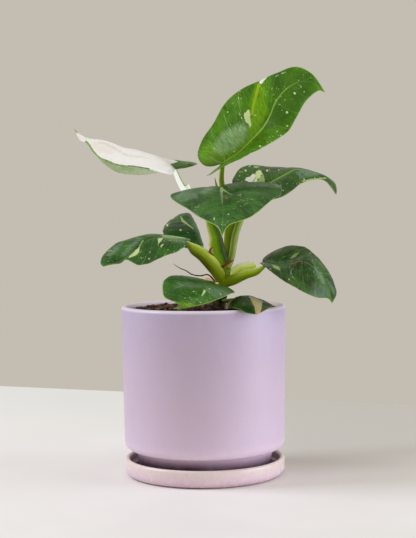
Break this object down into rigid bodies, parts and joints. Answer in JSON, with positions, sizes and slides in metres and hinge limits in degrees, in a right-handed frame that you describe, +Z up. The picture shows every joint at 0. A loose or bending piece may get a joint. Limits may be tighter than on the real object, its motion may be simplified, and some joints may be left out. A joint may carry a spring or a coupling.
{
  "type": "potted white knight philodendron",
  "caption": "Young upright aroid house plant with green and white heart-shaped leaves on thick stalks, growing in a straight-sided glazed pot that stands in its saucer.",
  "frame": {"origin": "centre of the saucer's flat underside", "axes": "+Z up, -Y towards the viewer of the picture, +X to the viewer's right"},
  "size_m": [0.2262, 0.1762, 0.3474],
  "materials": {
    "saucer_glaze": "satin glaze, pale pinkish lilac",
    "pot_glaze": "smooth matt lilac glaze",
    "soil": "loose dark granular potting mix",
    "root": "pale fleshy root",
    "stem": "brown green bark with leaf scars",
    "stalk_green": "smooth waxy yellow green",
    "stalk_white": "smooth waxy cream white",
    "sheath": "thin yellow green sheath",
    "dry_sheath": "dry papery beige",
    "aerial_root": "red brown, drying to dark brown",
    "leaf_green": "semi-gloss leathery green with cream specks",
    "leaf_white": "semi-gloss leathery cream white and green"
  },
  "bodies": {
    "root": {"saucer": "saucer_glaze", "pot": "pot_glaze", "potting_soil": "soil", "roots": "root", "main_stem": "stem", "stalk_front": "stalk_green", "stalk_left": "stalk_green", "stalk_right": "stalk_green", "stalk_top": "stalk_green", "stalk_right_middle": "stalk_green", "stalk_white": "stalk_white", "stalk_back_left": "stalk_green", "stalk_lower_left": "stalk_green", "stalk_lower_right": "stalk_green", "cut_stalk": "stalk_green", "sheath_tip": "sheath", "dry_sheath": "dry_sheath", "aerial_root_long": "aerial_root", "aerial_root_left": "aerial_root", "aerial_root_right": "aerial_root", "blade_top": "leaf_green", "blade_white": "leaf_white", "blade_right_middle": "leaf_green", "blade_front": "leaf_green", "blade_left": "leaf_green", "blade_back_left": "leaf_green", "blade_right": "leaf_green", "blade_lower_left": "leaf_green", "blade_lower_right": "leaf_green"}
  },
  "joints": []
}
